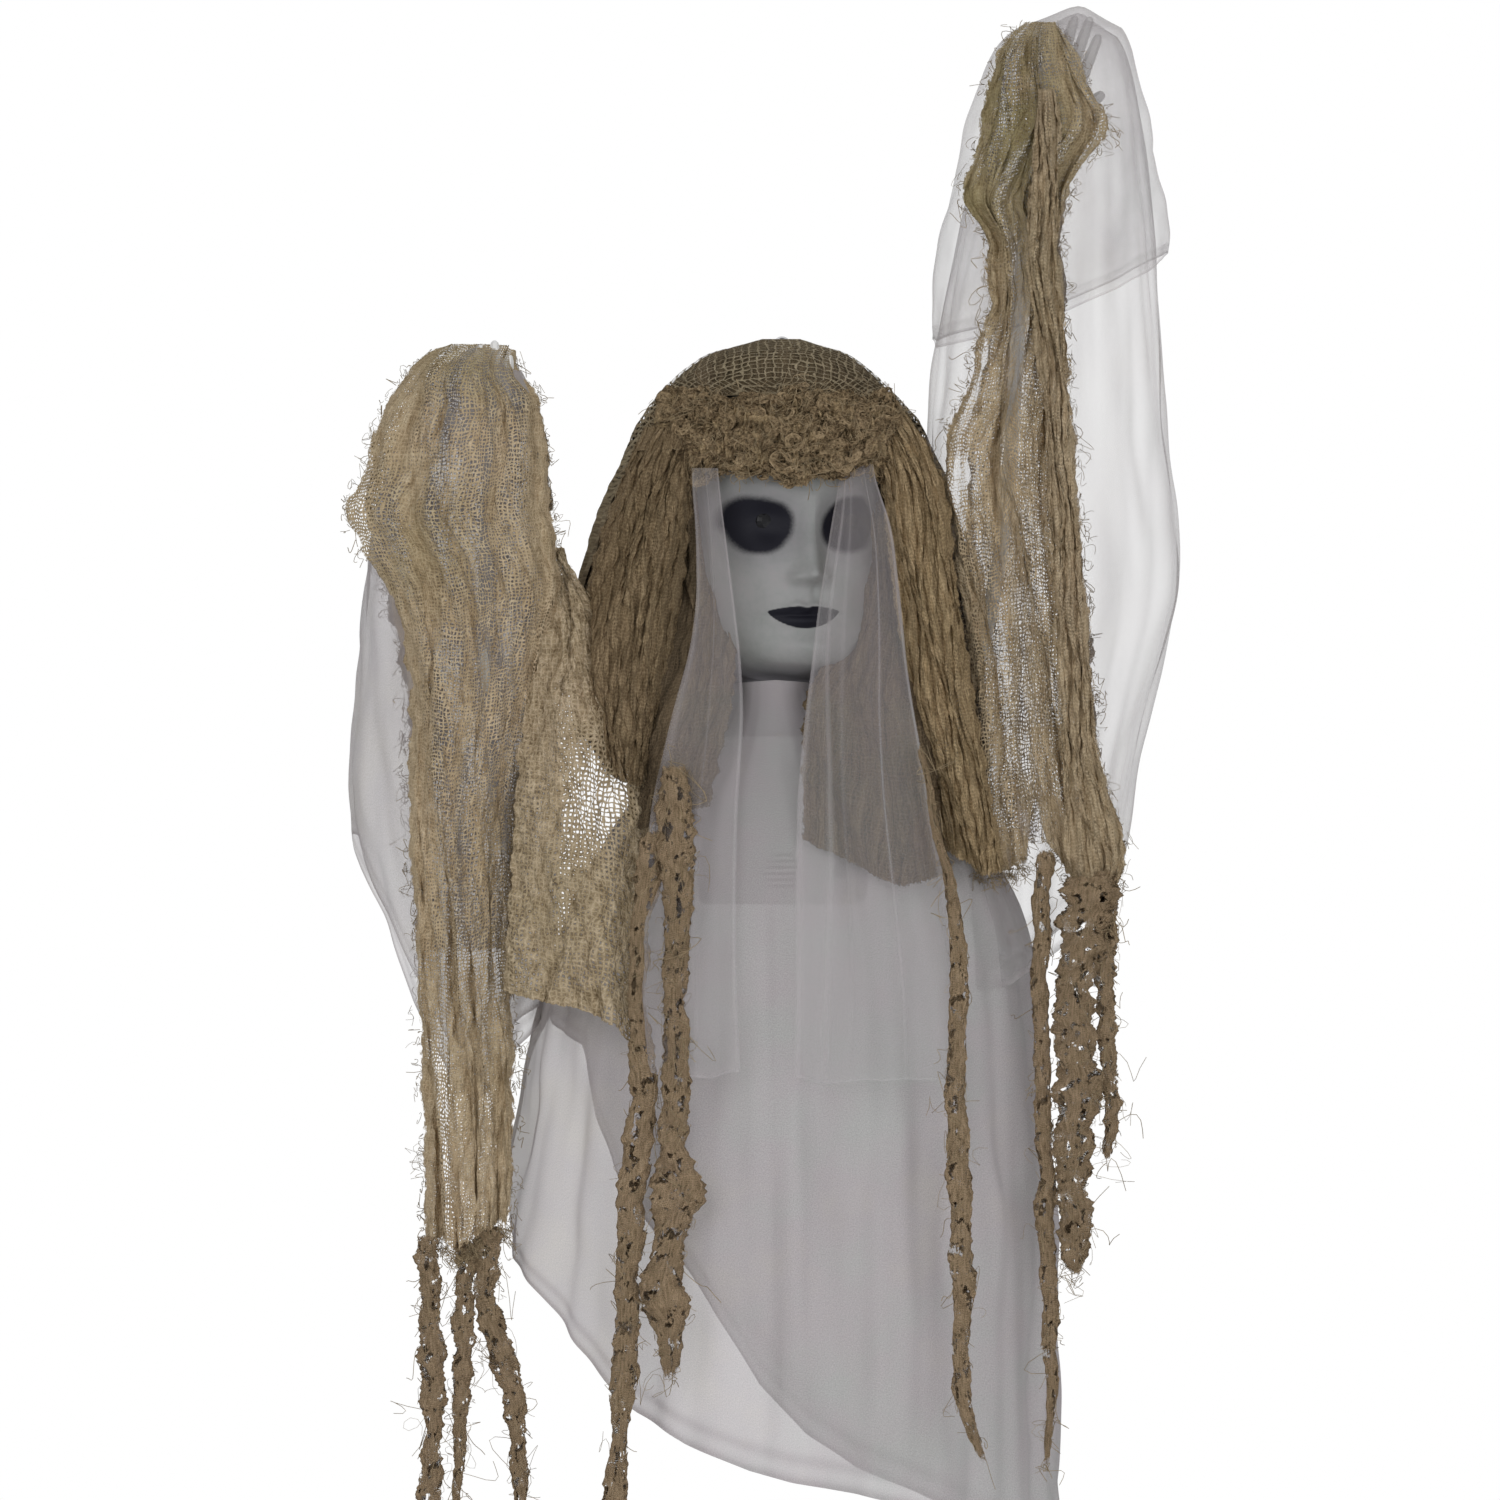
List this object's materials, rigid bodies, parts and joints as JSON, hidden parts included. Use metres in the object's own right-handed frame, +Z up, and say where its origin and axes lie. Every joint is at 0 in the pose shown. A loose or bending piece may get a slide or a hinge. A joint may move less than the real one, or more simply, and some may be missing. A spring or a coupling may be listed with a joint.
{
  "type": "animated hanging ghost figure",
  "caption": "Hanging ghost bride prop: white mask face, sheer robe and veil, torn tan gauze hood and raised arms; geared chest box turns the head and sways the arms.",
  "frame": {"origin": "centre of the hanging ring at the crown of the head", "axes": "+Z up along the figure's height, -Y the way the chest faces, +X the figure's left"},
  "size_m": [0.6695, 0.3099, 1.3416],
  "materials": {
    "white_plastic": "matte white moulding, sockets and lips painted black",
    "black_eye": "gloss black",
    "grey_plastic": "fine grain",
    "steel": "zinc plated",
    "brass": "plain",
    "gear_plastic": "natural moulding",
    "board_green": "solder mask",
    "cell_jacket": "plain jacket",
    "sheer": "sheer white cloth, frayed hems",
    "gauze": "tan open weave gauze, torn"
  },
  "bodies": {
    "chassis": {"rear_shell": "white_plastic", "front_cover": "white_plastic", "anchor_bar": "steel", "left_anchor_screw": "steel", "right_anchor_screw": "steel", "hanger_rod": "steel", "hang_ring": "steel", "neck_bush": "brass", "left_bush": "brass", "right_bush": "brass", "arm_motor": "grey_plastic", "head_motor": "grey_plastic", "speaker": "grey_plastic", "sensor_lens": "black_eye", "circuit_board": "board_green", "battery_tray": "grey_plastic", "battery_cell_1": "cell_jacket", "battery_cell_2": "cell_jacket", "battery_cell_3": "cell_jacket", "left_contact": "brass", "right_contact": "brass", "switch_body": "grey_plastic", "robe": "sheer"},
    "head": {"face_mask": "white_plastic", "skull_back": "white_plastic", "left_eye": "black_eye", "right_eye": "black_eye", "neck_tube": "grey_plastic", "head_gear": "gear_plastic", "hood": "gauze", "head_band": "gauze", "left_curtain": "gauze", "right_curtain": "gauze", "left_veil": "sheer", "right_veil": "sheer", "right_panel": "gauze", "left_front_strip": "gauze", "middle_front_strip": "gauze", "right_front_strip": "gauze"},
    "head_pinion": {"head_pinion": "gear_plastic"},
    "right_arm": {"right_gear": "gear_plastic", "right_axle": "steel", "right_hub": "grey_plastic", "right_arm": "white_plastic", "right_hand": "white_plastic", "right_sleeve": "sheer", "right_gauze": "gauze"},
    "left_arm": {"left_gear": "gear_plastic", "left_axle": "steel", "left_hub": "grey_plastic", "left_arm": "white_plastic", "left_hand": "white_plastic", "left_sleeve": "sheer", "left_drape": "sheer", "left_gauze": "gauze"},
    "arm_pinion": {"arm_pinion": "gear_plastic"},
    "power_switch": {"power_switch": "black_eye"},
    "battery_door": {"battery_door": "white_plastic"}
  },
  "joints": [
    {"name": "head_turn", "type": "hinge", "parent": "chassis", "child": "head", "pos_m": [0, 0, -0.3193], "axis": [0, 0, 1], "range_deg": [-36, 4], "deforming": ["hood", "left_curtain", "right_curtain", "left_veil", "right_veil", "right_panel", "left_front_strip", "middle_front_strip", "right_front_strip"]},
    {"name": "head_pinion_spin", "type": "hinge", "parent": "chassis", "child": "head_pinion", "pos_m": [0, 0.024, -0.3193], "axis": [0, 0, 1], "range_deg": [-15, 111]},
    {"name": "right_arm_swing", "type": "hinge", "parent": "chassis", "child": "right_arm", "pos_m": [-0.03, 0, -0.373], "axis": [0, 1, 0], "range_deg": [-8, 8], "deforming": ["right_sleeve", "right_gauze"]},
    {"name": "left_arm_swing", "type": "hinge", "parent": "chassis", "child": "left_arm", "pos_m": [0.03, 0, -0.373], "axis": [0, 1, 0], "range_deg": [-8.2, 8.2], "deforming": ["left_sleeve", "left_drape", "left_gauze"]},
    {"name": "arm_pinion_spin", "type": "hinge", "parent": "chassis", "child": "arm_pinion", "pos_m": [-0.03, -0.01, -0.4155], "axis": [0, 1, 0], "range_deg": [-20, 20]},
    {"name": "power_slide", "type": "slide", "parent": "chassis", "child": "power_switch", "axis": [1, 0, 0], "range_m": [0, 0.004]},
    {"name": "door_swing", "type": "hinge", "parent": "chassis", "child": "battery_door", "pos_m": [0.028, 0.041, -0.431], "axis": [-1, 0, 0], "range_deg": [0, 100]}
  ],
  "couplings": [
    {"joint": "head_pinion_spin", "follows": "head_turn", "ratio": -3},
    {"joint": "left_arm_swing", "follows": "right_arm_swing", "ratio": -1},
    {"joint": "arm_pinion_spin", "follows": "right_arm_swing", "ratio": -2.4}
  ]
}
